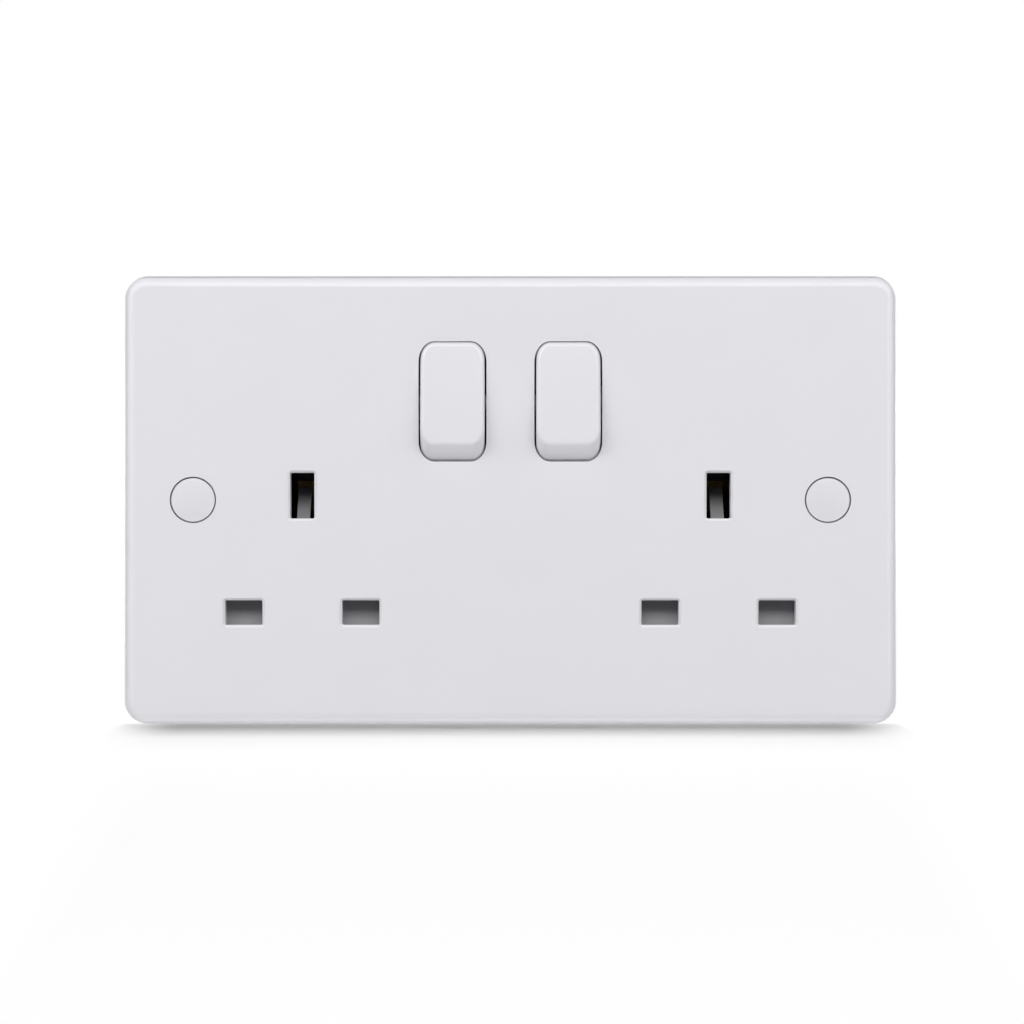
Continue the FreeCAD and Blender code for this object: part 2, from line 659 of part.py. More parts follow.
# Terminals
def terminal(x):
    low = TERMINAL_Z - TERMINAL_H / 2
    front = TERMINAL_BACK - TERMINAL_D
    body = block_about(x, TERMINAL_Z, TERMINAL_W / 2, TERMINAL_H / 2, front, TERMINAL_BACK)
    cable = rod_z(x, CABLE_Y, CABLE_R, low - OVERCUT, TERMINAL_TOP + OVERCUT)
    thread = rod_y(x, TERMINAL_Z, TERMINAL_SCREW_R + THREAD_GAP, CABLE_Y, TERMINAL_BACK + OVERCUT)
    return body.cut([cable, thread])


def slotted_screw(x, z, shank_r, tip_y, under_y, head_r, head_t):
    """Cheese-head screw that points to the front, with a driver slot across its head."""
    shank = rod_y(x, z, shank_r, tip_y, under_y)
    head = rod_y(x, z, head_r, under_y, under_y + head_t)
    slot = block_about(x, z, head_r, SLOT_W / 2, under_y + head_t - SLOT_D, under_y + head_t)
    return joined(shank, [head]).cut(slot)


def terminal_screws():
    under = BACK_Y - TERMINAL_HEAD_T
    tip = CABLE_Y + CABLE_R + SEAT_GAP
    return Part.makeCompound([
        slotted_screw(x, TERMINAL_Z, TERMINAL_SCREW_R, tip, under, TERMINAL_HEAD_R, TERMINAL_HEAD_T)
        for x in TERMINALS.values()
    ])


# Rear housing
def housing_outline():
    """Outline with notches for the box lugs, shoulders beside the switches and a cable bay below."""
    right = [
        (BAY_HALF, BAY_TOP),
        (BAY_HALF, HOUSING_BOTTOM),
        (HOUSING_HALF, HOUSING_BOTTOM),
        (HOUSING_HALF, NOTCH_FOOT),
        (NOTCH_HALF, NOTCH_FOOT),
        (NOTCH_HALF, SHOULDER_Z),
        (SWITCH_BLOCK_HALF, SHOULDER_Z),
        (SWITCH_BLOCK_HALF, HOUSING_TOP),
    ]
    left = [(-x, z) for x, z in reversed(right)]
    return right + left


def housing_tray():
    outline = rounded_outline(housing_outline(), HOUSING_CORNER_R, 0)
    inside = outline.makeOffset2D(-HOUSING_WALL)
    outer = prism_y(outline, JOIN_Y, BACK_Y)
    outer = outer.makeFillet(HOUSING_EDGE_R, edges_at(outer, BACK_Y))
    return outer.cut(prism_y(inside, JOIN_Y - OVERCUT, FLOOR_Y))


def chambers():
    """Pin chambers as centre, half sizes and the depth that the clip's strap lies at."""
    places = []
    for side in SIDES:
        x = SOCKET_X[side]
        places.append((x - PIN_PITCH / 2, LINE_Z, CHAMBER_ALONG, CHAMBER_ACROSS, NEUTRAL_Y))
        places.append((x + PIN_PITCH / 2, LINE_Z, CHAMBER_ALONG, CHAMBER_ACROSS, LIVE_Y))
        places.append((x, EARTH_Z, CHAMBER_ACROSS, EARTH_CHAMBER_ALONG, EARTH_Y))
    return places


def switch_walls(x):
    """Walls on both sides of one switch, with tongues that keep the trunnions in their ears."""
    inner = ROCKER_W / 2 + ROCKER_GAP
    ear_back = PIVOT_Y + TRUNNION_R + SLIDE_GAP
    low = ROCKER_Z - DRUM_R
    high = HOUSING_TOP - HOUSING_WALL
    tongue = TRUNNION_R - SLIDE_GAP
    tongue_y = PIVOT_Y + TRUNNION_R + RUNNING_GAP
    walls = []
    for near in (x - inner - EAR_T, x + inner):
        far = near + EAR_T
        walls.append(box(near, far, ear_back + SEAT_GAP, FLOOR_Y, low, high))
        walls.append(box(near, far, tongue_y, ear_back + EAR_T, ROCKER_Z - tongue, ROCKER_Z + tongue))
    return walls


def terminal_walls():
    """Dividers between the terminals."""
    half = (TERMINAL_PITCH - TERMINAL_W) / 2 - SLIDE_GAP
    front = TERMINAL_BACK - TERMINAL_D - INSULATION
    walls = []
    for step in (-2, -1, 0, 1, 2):
        x = step * TERMINAL_PITCH
        walls.append(box(x - half, x + half, front, FLOOR_Y, BAY_TOP, TERMINAL_TOP))
    return walls


def rear_housing():
    additions = []
    cuts = []
    for x, z, half_x, half_z, level in chambers():
        additions.append(block_about(x, z, half_x + CHAMBER_WALL, half_z + CHAMBER_WALL, JOIN_Y, FLOOR_Y))
        cuts.append(block_about(x, z, half_x, half_z, JOIN_Y - OVERCUT, level + STRAP_T))
        if BACK_Y - level > 2 * FLOOR_T:
            relief = level + STRAP_T + FLOOR_T
            cuts.append(block_about(x, z, half_x, half_z, relief, BACK_Y + OVERCUT))
    for side in SIDES:
        additions += switch_walls(ROCKER_X[side])
        x = SOCKET_X[side]
        ramp_room = RAMP_W / 2 + STRAP_GAP
        ramp_back = SHUTTER_FRONT + RAMP_TOP - RAMP_FOOT + RAMP_T + STRAP_GAP
        ramp_low = RAMP_FOOT - SHUTTER_TRAVEL - RAMP_T - STRAP_GAP
        cuts.append(box(x - ramp_room, x + ramp_room, JOIN_Y - OVERCUT, ramp_back, ramp_low, EARTH_Z))
    additions += terminal_walls()
    for x in TERMINALS.values():
        cuts.append(rod_z(x, CABLE_Y, ENTRY_R, BAY_TOP - OVERCUT, TERMINAL_Z))
        hole_r = TERMINAL_HEAD_R + HEAD_GAP
        cuts.append(rod_y(x, TERMINAL_Z, hole_r, FLOOR_Y - OVERCUT, BACK_Y + OVERCUT))
    head_y = JOIN_Y + SCREW_FLOOR_T
    for x, z in HOUSING_SCREWS:
        additions.append(rod_y(x, z, TUBE_R, JOIN_Y, BACK_Y))
        cuts.append(rod_y(x, z, HOUSING_HEAD_R + HEAD_GAP, head_y, BACK_Y + OVERCUT))
        cuts.append(rod_y(x, z, HOUSING_SCREW_R + SLIDE_GAP, JOIN_Y - OVERCUT, head_y + OVERCUT))
    for level, runs in strap_paths().values():
        cuts += strap_channel(level, runs)
    return joined(housing_tray(), additions).cut(cuts)


def housing_screws():
    head_y = JOIN_Y + SCREW_FLOOR_T
    return Part.makeCompound([
        slotted_screw(
            x, z, HOUSING_SCREW_R, head_y - HOUSING_SCREW_L, head_y, HOUSING_HEAD_R, HOUSING_HEAD_T
        )
        for x, z in HOUSING_SCREWS
    ])


def fixing_screw(x):
    """Machine screw with a plain neck through the plate and a thread into the box lug."""
    seat_y = -PILLAR_SETBACK - FIXING_WEB
    head = rod_y(x, 0, FIXING_HEAD_R, seat_y - FIXING_HEAD_T, seat_y)
    head = head.makeFillet(FIXING_CROWN_R, edges_at(head, seat_y - FIXING_HEAD_T))
    crown_y = seat_y - FIXING_HEAD_T
    slot = block_about(x, 0, FIXING_HEAD_R, SLOT_W / 2, crown_y, crown_y + SLOT_D)
    neck = rod_y(x, 0, FIXING_NECK_R, seat_y, 0)
    thread = rod_y(x, 0, FIXING_THREAD_R, 0, seat_y + FIXING_LENGTH)
    return joined(head.cut(slot), [neck, thread])


def all_pieces():
    pieces = {
        "front_plate": front_plate(),
        "rear_housing": rear_housing(),
        "terminal_screws": terminal_screws(),
        "housing_screws": housing_screws(),
    }
    for name, (level, runs) in strap_paths().items():
        pieces[name] = live_busbar(level, runs) if name == "live_busbar" else strap(level, runs)
    for name, x in TERMINALS.items():
        pieces["terminal_" + name] = terminal(x)
    line_mouth = JOIN_Y + CLIP_FLARE
    earth_mouth = SHUTTER_FRONT + RAMP_TOP - RAMP_FOOT + RAMP_T
    for side in SIDES:
        socket = SOCKET_X[side]
        rocker_x = ROCKER_X[side]
        rest = (rocker_x, PIVOT_Y, ROCKER_Z, -ROCKER_HALF_TILT)
        open_contact = (rocker_x, FULCRUM_Y, ROCKER_Z, SEESAW_HALF_TILT)
        pieces["rocker_" + side] = turned(rocker_shape(), *rest)
        pieces["plunger_" + side] = turned(plunger_shape(), *rest)
        pieces["plunger_spring_" + side] = turned(plunger_spring_shape(), *rest)
        pieces["moving_contact_" + side] = turned(seesaw_shape(), *open_contact)
        pieces["moving_tip_" + side] = turned(moving_tip_shape(), *open_contact)
        pieces["fixed_tip_" + side] = rod_y(rocker_x, ROCKER_Z + SEESAW_ARM, TIP_R, FIXED_TIP_Y, LIVE_Y)
        pieces["shutter_" + side] = shutter(socket)
        pieces["shutter_spring_" + side] = shutter_spring(socket)
        pieces["neutral_clip_" + side] = clip(socket - PIN_PITCH / 2, LINE_Z, NEUTRAL_Y, line_mouth, 0)
        pieces["live_clip_" + side] = clip(socket + PIN_PITCH / 2, LINE_Z, LIVE_Y, line_mouth, 0)
        pieces["earth_clip_" + side] = clip(socket, EARTH_Z, EARTH_Y, earth_mouth, 1)
        pieces["screw_cap_" + side] = screw_cap(FIXING_X[side])
        pieces["fixing_screw_" + side] = fixing_screw(FIXING_X[side])
    return pieces


os.makedirs("parts", exist_ok=True)
for piece_name, piece in all_pieces().items():
    piece.exportStep("parts/" + piece_name + ".step")
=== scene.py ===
import json
import math

import bmesh
import bpy
from mathutils import Matrix, Vector


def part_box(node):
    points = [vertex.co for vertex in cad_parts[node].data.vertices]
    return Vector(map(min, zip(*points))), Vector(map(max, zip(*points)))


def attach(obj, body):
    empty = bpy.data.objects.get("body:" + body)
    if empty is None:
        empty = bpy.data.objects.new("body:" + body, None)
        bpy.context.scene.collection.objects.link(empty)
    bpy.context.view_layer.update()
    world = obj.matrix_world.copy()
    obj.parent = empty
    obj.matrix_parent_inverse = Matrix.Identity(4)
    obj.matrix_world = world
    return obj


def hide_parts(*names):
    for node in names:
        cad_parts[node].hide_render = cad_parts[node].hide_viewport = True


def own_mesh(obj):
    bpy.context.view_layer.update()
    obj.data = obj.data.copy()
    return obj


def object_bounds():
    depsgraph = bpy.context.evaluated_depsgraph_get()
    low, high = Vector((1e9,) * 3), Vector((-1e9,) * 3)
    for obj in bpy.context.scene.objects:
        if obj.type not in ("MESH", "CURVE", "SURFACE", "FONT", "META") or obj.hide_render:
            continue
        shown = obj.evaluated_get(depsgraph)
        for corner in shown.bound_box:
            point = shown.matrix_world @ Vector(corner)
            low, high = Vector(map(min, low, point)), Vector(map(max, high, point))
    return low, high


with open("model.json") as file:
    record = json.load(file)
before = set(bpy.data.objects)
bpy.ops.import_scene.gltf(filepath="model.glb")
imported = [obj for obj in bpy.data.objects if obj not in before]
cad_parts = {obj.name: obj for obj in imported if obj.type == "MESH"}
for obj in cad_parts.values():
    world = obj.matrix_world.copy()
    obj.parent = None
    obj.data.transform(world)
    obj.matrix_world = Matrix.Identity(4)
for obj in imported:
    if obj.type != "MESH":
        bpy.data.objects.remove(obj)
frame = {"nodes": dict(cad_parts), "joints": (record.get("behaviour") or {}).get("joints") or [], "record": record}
cad_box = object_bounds()

# Looks of a twin switched wall socket. Lengths are in metres, X runs right, Z up and Y into the wall.
SIDES = ("left", "right")
JOINTS = {joint["name"]: joint for joint in frame["joints"]}
FULL_TURN = 2 * math.pi
WHITE = (1.0, 1.0, 1.0)
BLACK = (0.0, 0.0, 0.0)

# Camera, square to the face as in the photograph
CAMERA_DISTANCE = 0.709
CAMERA_ASIDE = 0.0003
CAMERA_DROP = 0.0023
CAMERA_LENS = 129.6
CAMERA_SENSOR = 36.0

# Floor: its own glow is faint near the object and full further out, sooner towards the sides.
# The lean brings the limits at the sides closer in front of the object and behind it.
FLOOR_SIZE = 12.0
FLOOR_TINT = (0.5, 0.5, 0.5)
FLOOR_ROUGHNESS = 0.9
FLOOR_GLOW = 0.2
FLOOR_NEAR = 0.16
FLOOR_FAR = 0.5
FLOOR_SIDE_NEAR = 0.063
FLOOR_SIDE_FAR = 0.0786
FLOOR_SIDE_LEAN = 0.08

# White surround, and faint light from all round
SURROUND_R = 3.0
SURROUND_HALF = 3.0
SURROUND_STEPS = 64
SKY_GREY = 0.06

# Softboxes by the pieces that they light: each has a place, a width, a height and a power
SOFTBOXES = {
    "off_floor": {
        "top_box": ((-0.1, -0.85, 0.6), 2.2, 0.44, 12.0),
        "rear_left": ((-0.5, 0.85, 0.12), 0.6, 0.6, 3.2),
        "rear_right": ((0.6, 0.8, 0.12), 0.6, 0.6, 3.6),
    },
    "off_shutters": {
        "left_wall": ((-0.75, -0.5, 0.3), 0.7, 0.7, 3.3),
        "right_wall": ((0.75, -0.5, 0.3), 0.7, 0.7, 3.3),
        "left_strip": ((-0.52, -0.84, 0.03), 0.2, 0.24, 0.4),
        "right_strip": ((0.52, -0.84, 0.03), 0.2, 0.24, 0.6),
    },
    "floor_only": {
        "steep_box": ((0.0, 1.44, 6.8), 0.15, 2.88, 620.0),
        "slant_box": ((0.0, 2.6, 6.2), 0.15, 5.2, 375.0),
    },
    "shutters_only": {
        "shutter_box": ((-0.1, -0.85, 0.6), 2.2, 0.44, 16.5),
    },
    "shell_only": {
        "under_box": ((0.0, 0.0, -0.5), 0.6, 0.2, 2.3),
    },
}

# Springs: wire and turns
SHUTTER_SPRING_WIRE = 0.0002
SHUTTER_SPRING_TURNS = 7
PLUNGER_SPRING_WIRE = 0.000175
PLUNGER_SPRING_TURNS = 5
SPRING_STEPS = 36
WIRE_STEPS = 12

# Fixing screws
THREAD_PITCH = 0.0006
THREAD_DEPTH = 0.00035
THREAD_STEPS = 40
THREAD_ROWS = 8
THREAD_FLANK = 1.6
THREAD_CREST = 0.3
NECK_R = 0.0015
THREAD_R = 0.00175
HEAD_R = 0.0032
HEAD_T = 0.0022
HEAD_CROWN = 0.0006
CROWN_STEP = 0.3
DRIVER_SLOT_W = 0.0009
DRIVER_SLOT_D = 0.0008

# Raised letters beside the terminals
LETTERS = {"live": "L", "neutral": "N", "earth_left": "E", "earth_right": "E"}
LETTER_H = 0.003
LETTER_W = 0.0019
LETTER_STROKE = 0.0005
LETTER_SLANT = 0.0011
LETTER_RAISE = 0.0003
LETTER_SINK = 0.0001
LETTER_LIFT = 0.0013

# Red mark on each rocker's upper end, hidden while the switch is off
FLASH_COLOUR = (0.6, 0.02, 0.02)
FLASH_HALF = 0.0043
FLASH_DEPTH = 0.0003
FLASH_BELOW_FACE = 0.0009

# Sizes of the blots in the noise, how finely they break up, and the part of the noise's range in use
CLOUD_SIZE = 0.012
BLOT_SIZE = 0.004
BLOT_DETAIL = 4.0
GRAIN_DETAIL = 3.0
STREAK_STRETCH = (0.08, 1.0, 1.0)
TARNISH_START = 0.45
TARNISH_FULL = 0.75
NOISE_LOW = 0.25
NOISE_HIGH = 0.75

# Shutters shine less than the other plastics, and light scatters in nylon
SHUTTER_SPECULAR = 0.15
NYLON_SCATTER = 0.15
NYLON_SCATTER_DEPTH = 0.001

# Plastics: grain is the size of the surface grain, and bump its depth
PLASTICS = {
    "white_plastic": {
        "colour": (0.70, 0.692, 0.727),
        "clouding": 0.006,
        "grain": 0.0006,
        "roughness": (0.285, 0.335),
        "bump": 0.000001,
    },
    "rocker_plastic": {
        "colour": (0.68, 0.672, 0.706),
        "clouding": 0.006,
        "grain": 0.0006,
        "roughness": (0.2, 0.265),
        "bump": 0.000001,
    },
    "dark_plastic": {
        "colour": (0.045, 0.045, 0.048),
        "clouding": 0.12,
        "grain": 0.00035,
        "roughness": (0.42, 0.58),
        "bump": 0.00004,
    },
    # The shutters' dark grey is partly painted shade, for the shade deep inside the slots
    "grey_plastic": {
        "colour": (0.22, 0.22, 0.2245),
        "clouding": 0.03,
        "grain": 0.0004,
        "roughness": (0.5, 0.6),
        "bump": 0.000006,
    },
    "nylon": {
        "colour": (0.72, 0.69, 0.6),
        "clouding": 0.02,
        "grain": 0.0004,
        "roughness": (0.35, 0.45),
        "bump": 0.000004,
    },
}

# Metals: grain is the width of the streaks, and bump their depth
METALS = {
    "spring_steel": {
        "colour": (0.5, 0.5, 0.52),
        "tarnish": (0.38, 0.38, 0.4),
        "grain": 0.0002,
        "roughness": (0.28, 0.4),
        "bump": 0.000002,
    },
    "zinc_steel": {
        "colour": (0.62, 0.63, 0.65),
        "tarnish": (0.5, 0.51, 0.5),
        "grain": 0.0003,
        "roughness": (0.28, 0.42),
        "bump": 0.000003,
    },
    # The brass parts are drawn dark and dull: their colour and tarnish are painted shade for the shade inside the
    # slots and gaps where they show
    "brass": {
        "colour": (0.3, 0.2, 0.09),
        "tarnish": (0.16, 0.1, 0.05),
        "grain": 0.0003,
        "roughness": (0.45, 0.6),
        "bump": 0.000003,
    },
    "brass_screw": {
        "colour": (0.62, 0.44, 0.19),
        "tarnish": (0.46, 0.31, 0.13),
        "grain": 0.0002,
        "roughness": (0.28, 0.42),
        "bump": 0.000002,
    },
    "contact_silver": {
        "colour": (0.8, 0.8, 0.79),
        "tarnish": (0.62, 0.61, 0.58),
        "grain": 0.0002,
        "roughness": (0.3, 0.42),
        "bump": 0.000002,
    },
}


# Meshes
def clamp(value):
    return min(1.0, max(0.0, value))


def shade(mesh, smooth):
    for polygon in mesh.polygons:
        polygon.use_smooth = smooth


def add_object(name, mesh, smooth=True):
    shade(mesh, smooth)
    piece = bpy.data.objects.new(name, mesh)
    bpy.context.scene.collection.objects.link(piece)
    return piece


def mesh_from(name, vertices, faces):
    mesh = bpy.data.meshes.new(name)
    mesh.from_pydata(vertices, [], faces)
    mesh.update()
    return mesh


def angles_round(steps):
    """Angles of evenly spaced points on a circle."""
    return [FULL_TURN * i / steps for i in range(steps)]


def on_circle(radius, angle, height):
    return (radius * math.cos(angle), radius * math.sin(angle), height)


def tube_faces(rings, around):
    """Quads between rings of points, with both ends closed."""
    faces = []
    for ring in range(rings - 1):
        for i in range(around):
            j = (i + 1) % around
            low = ring * around
            faces.append((low + i, low + j, low + around + j, low + around + i))
    last = (rings - 1) * around
    faces.append(tuple(reversed(range(around))))
    faces.append(tuple(last + i for i in range(around)))
    return faces


def spring_mesh(name, radius, wire, length, turns):
    """A wound spring that stands on Z = 0. Its first and last turn lie flat."""
    steps = SPRING_STEPS * turns
    upward = Vector((0, 0, 1))
    points = []
    for step in range(steps + 1):
        turned = turns * step / steps
        rise = wire + (length - 2 * wire) * clamp((turned - 1) / (turns - 2))
        outward = Vector(on_circle(1.0, FULL_TURN * turned, 0))
        centre = outward * radius + upward * rise
        for angle in angles_round(WIRE_STEPS):
            points.append(centre + wire * (outward * math.cos(angle) + upward * math.sin(angle)))
    return mesh_from(name, points, tube_faces(steps + 1, WIRE_STEPS))


def thread_radius(depth, angle):
    """Radius of a fine thread at one place: crest and root with straight flanks."""
    phase = (depth / THREAD_PITCH - angle / FULL_TURN) % 1.0
    return THREAD_R - THREAD_DEPTH * clamp(THREAD_FLANK * abs(2 * phase - 1) - THREAD_CREST)


def screw_rings(neck):
    """Depth and radius of each ring of a screw's head and neck."""
    return [
        (-HEAD_T, HEAD_R - 2 * HEAD_CROWN),
        (-HEAD_T + CROWN_STEP * HEAD_CROWN, HEAD_R - HEAD_CROWN),
        (-HEAD_T + HEAD_CROWN, HEAD_R - CROWN_STEP * HEAD_CROWN),
        (-HEAD_T + 2 * HEAD_CROWN, HEAD_R),
        (0, HEAD_R),
        (0, NECK_R),
        (neck, NECK_R),
    ]


def screw_mesh(name, shank, neck):
    """A machine screw along Z: pan head below Z = 0, plain neck, then thread to its tip."""
    angles = angles_round(THREAD_STEPS)
    rings = screw_rings(neck)
    points = [on_circle(radius, angle, depth) for depth, radius in rings for angle in angles]
    root = THREAD_R - THREAD_DEPTH
    count = int((shank - neck) / THREAD_PITCH * THREAD_ROWS)
    for row in range(count + 1):
        depth = neck + (shank - neck) * row / count
        lead = min(1.0, min(depth - neck, shank - depth) / THREAD_PITCH)
        for angle in angles:
            radius = root + lead * (thread_radius(depth, angle) - root)
            points.append(on_circle(radius, angle, depth))
    return mesh_from(name, points, tube_faces(len(rings) + count + 1, THREAD_STEPS))


def cut_box(piece, centre, size):
    """Cuts a box out of a piece and keeps the result as its mesh."""
    shape = bmesh.new()
    place = Matrix.Translation(centre) @ Matrix.Diagonal((*size, 1.0))
    bmesh.ops.create_cube(shape, size=1.0, matrix=place)
    mesh = bpy.data.meshes.new("cutter")
    shape.to_mesh(mesh)
    shape.free()
    cutter = add_object("cutter", mesh, smooth=False)
    cut = piece.modifiers.new("slot", "BOOLEAN")
    cut.operation = "DIFFERENCE"
    cut.object = cutter
    graph = bpy.context.evaluated_depsgraph_get()
    piece.data = bpy.data.meshes.new_from_object(piece.evaluated_get(graph))
    piece.modifiers.clear()
    bpy.data.objects.remove(cutter)


def letter_outline(letter):
    """Corners of a plain capital, counted from its lower left."""
    stroke, width, height = LETTER_STROKE, LETTER_W, LETTER_H
    middle = (height - stroke) / 2
    foot = [(0, 0), (width, 0), (width, stroke), (stroke, stroke)]
    head = [(stroke, height - stroke), (width, height - stroke), (width, height), (0, height)]
    if letter == "L":
        return foot + [(stroke, height), (0, height)]
    if letter == "E":
        arm = width - stroke / 2
        bar = [(stroke, middle), (arm, middle), (arm, middle + stroke), (stroke, middle + stroke)]
        return foot + bar + head
    rising = [(0, 0), (stroke, 0), (stroke, height - LETTER_SLANT), (width - stroke, 0), (width, 0)]
    falling = [(width - x, height - z) for x, z in rising]
    return rising + falling


def letter_mesh(name, letter):
    """A capital raised along Y, which reads from the rear, about its own middle."""
    outline = letter_outline(letter)
    points = []
    for side in (-0.5, 0.5):
        for x, z in outline:
            points.append((LETTER_W / 2 - x, side * (LETTER_RAISE + LETTER_SINK), z - LETTER_H / 2))
    return mesh_from(name, points, tube_faces(2, len(outline)))


# Materials
def new_material(name):
    """A material with its node tree, its shader and a socket that gives places in metres."""
    material = bpy.data.materials.new(name)
    material.use_nodes = True
    tree = material.node_tree
    places = tree.nodes.new("ShaderNodeTexCoord").outputs["Object"]
    return material, tree, tree.nodes["Principled BSDF"], places


def reckon(tree, kind, operation, values):
    """A node that works on some values, each of them a socket or fixed."""
    node = tree.nodes.new(kind)
    node.operation = operation
    for value, socket in zip(values, node.inputs):
        if isinstance(value, bpy.types.NodeSocket):
            tree.links.new(value, socket)
        else:
            socket.default_value = value
    return node


def number(tree, operation, *values):
    return reckon(tree, "ShaderNodeMath", operation, values).outputs["Value"]


def vector(tree, operation, *values):
    return reckon(tree, "ShaderNodeVectorMath", operation, values).outputs["Vector"]


def measure(tree, operation, *values):
    """A number that is worked out from vectors."""
    return reckon(tree, "ShaderNodeVectorMath", operation, values).outputs["Value"]


def stretched(tree, places, scale):
    node = tree.nodes.new("ShaderNodeMapping")
    node.inputs["Scale"].default_value = scale
    tree.links.new(places, node.inputs["Vector"])
    return node.outputs["Vector"]


def noise(tree, places, grain, detail=2.0):
    """Soft noise whose blots are about one grain across."""
    node = tree.nodes.new("ShaderNodeTexNoise")
    node.inputs["Scale"].default_value = 1.0 / grain
    node.inputs["Detail"].default_value = detail
    tree.links.new(places, node.inputs["Vector"])
    return node.outputs[0]


def colour_between(tree, value, first, second, low=0.3, high=0.7):
    node = tree.nodes.new("ShaderNodeValToRGB")
    node.color_ramp.elements[0].position = low
    node.color_ramp.elements[0].color = (*first, 1.0)
    node.color_ramp.elements[1].position = high
    node.color_ramp.elements[1].color = (*second, 1.0)
    tree.links.new(value, node.inputs["Fac"])
    return node.outputs["Color"]


def spread(tree, value, low, high):
    """Noise spread over a range of values."""
    node = tree.nodes.new("ShaderNodeMapRange")
    node.inputs["From Min"].default_value = NOISE_LOW
    node.inputs["From Max"].default_value = NOISE_HIGH
    node.inputs["To Min"].default_value = low
    node.inputs["To Max"].default_value = high
    tree.links.new(value, node.inputs["Value"])
    return node.outputs["Result"]


def add_bump(tree, shader, height, depth):
    node = tree.nodes.new("ShaderNodeBump")
    node.inputs["Strength"].default_value = 1.0
    node.inputs["Distance"].default_value = depth
    tree.links.new(height, node.inputs["Height"])
    tree.links.new(node.outputs["Normal"], shader.inputs["Normal"])


def scaled(colour, factor):
    return tuple(min(1.0, part * factor) for part in colour)


def plastic(name, colour, clouding, grain, roughness, bump):
    """Moulded plastic: faint clouding of the colour and a fine surface grain."""
    material, tree, shader, places = new_material(name)
    clouds = noise(tree, places, CLOUD_SIZE)
    tint = colour_between(tree, clouds, scaled(colour, 1 - clouding), scaled(colour, 1 + clouding))
    tree.links.new(tint, shader.inputs["Base Color"])
    fine = noise(tree, places, grain, GRAIN_DETAIL)
    tree.links.new(spread(tree, fine, *roughness), shader.inputs["Roughness"])
    add_bump(tree, shader, fine, bump)
    return material, tree, shader, places


def metal(name, colour, tarnish, grain, roughness, bump):
    """Drawn or rolled metal: streaks along X, and blots of tarnish."""
    material, tree, shader, places = new_material(name)
    shader.inputs["Metallic"].default_value = 1.0
    blots = noise(tree, places, BLOT_SIZE, BLOT_DETAIL)
    tint = colour_between(tree, blots, colour, tarnish, TARNISH_START, TARNISH_FULL)
    tree.links.new(tint, shader.inputs["Base Color"])
    streaks = noise(tree, stretched(tree, places, STREAK_STRETCH), grain, GRAIN_DETAIL)
    tree.links.new(spread(tree, streaks, *roughness), shader.inputs["Roughness"])
    add_bump(tree, shader, streaks, bump)
    return material


def plain_plastic(name):
    return plastic(name, **PLASTICS[name])[0]


def grey_plastic():
    """Matt dark grey, for the shutters. The dark grey is partly their own colour and partly painted shade for the
    shade deep inside the slots.
    """
    material, _, shader, _ = plastic("grey_plastic", **PLASTICS["grey_plastic"])
    shader.inputs["Specular IOR Level"].default_value = SHUTTER_SPECULAR
    return material


def nylon():
    """Milky plastic that lets a little light through."""
    material, _, shader, _ = plastic("nylon", **PLASTICS["nylon"])
    shader.inputs["Subsurface Weight"].default_value = NYLON_SCATTER
    shader.inputs["Subsurface Scale"].default_value = NYLON_SCATTER_DEPTH
    return material


def flash_mask(tree, places, side):
    """1 on the part of a rocker's drum that has the red mark, else 0."""
    pivot = Vector(JOINTS["rocker_%s_hinge" % side]["pos_m"])
    plate_low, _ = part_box("front_plate")
    points = [vertex.co - pivot for vertex in frame["nodes"]["rocker_" + side].data.vertices]
    drum_r = max(math.hypot(point.y, point.z) for point in points)
    offset = vector(tree, "SUBTRACT", places, tuple(pivot))
    reach = measure(tree, "LENGTH", vector(tree, "MULTIPLY", offset, (0.0, 1.0, 1.0)))
    parts = tree.nodes.new("ShaderNodeSeparateXYZ")
    tree.links.new(offset, parts.inputs["Vector"])
    width = number(tree, "ABSOLUTE", parts.outputs["X"])
    face_y = plate_low.y - pivot.y
    tests = [
        number(tree, "GREATER_THAN", reach, drum_r - FLASH_DEPTH),
        number(tree, "LESS_THAN", width, FLASH_HALF),
        number(tree, "GREATER_THAN", parts.outputs["Z"], 0.0),
        number(tree, "GREATER_THAN", parts.outputs["Y"], face_y + FLASH_BELOW_FACE),
    ]
    mask = tests[0]
    for test in tests[1:]:
        mask = number(tree, "MULTIPLY", mask, test)
    return mask


def rocker_plastic(side):
    """White plastic with a red mark printed on the end that shows when the switch is on."""
    name = "rocker_plastic_" + side
    material, tree, shader, places = plastic(name, **PLASTICS["rocker_plastic"])
    blend = tree.nodes.new("ShaderNodeMix")
    blend.data_type = "RGBA"
    colours = {socket.name: socket for socket in blend.inputs if socket.type == "RGBA"}
    colours["B"].default_value = (*FLASH_COLOUR, 1.0)
    tree.links.new(flash_mask(tree, places, side), blend.inputs["Factor"])
    tree.links.new(shader.inputs["Base Color"].links[0].from_socket, colours["A"])
    result = next(socket for socket in blend.outputs if socket.type == "RGBA")
    tree.links.new(result, shader.inputs["Base Color"])
    return material


def finishes():
    """The material of each slot in the record."""
    materials = {
        "white_plastic": plain_plastic("white_plastic"),
        "dark_plastic": plain_plastic("dark_plastic"),
        "grey_plastic": grey_plastic(),
        "nylon": nylon(),
    }
    for name, look in METALS.items():
        materials[name] = metal(name, **look)
    return materials


def slot_of_nodes():
    """Record slot of each CAD node."""
    return {part["node"]: part["material_slot"] for part in frame["record"]["subparts"]}


def set_material(piece, material):
    piece.data.materials.clear()
    piece.data.materials.append(material)


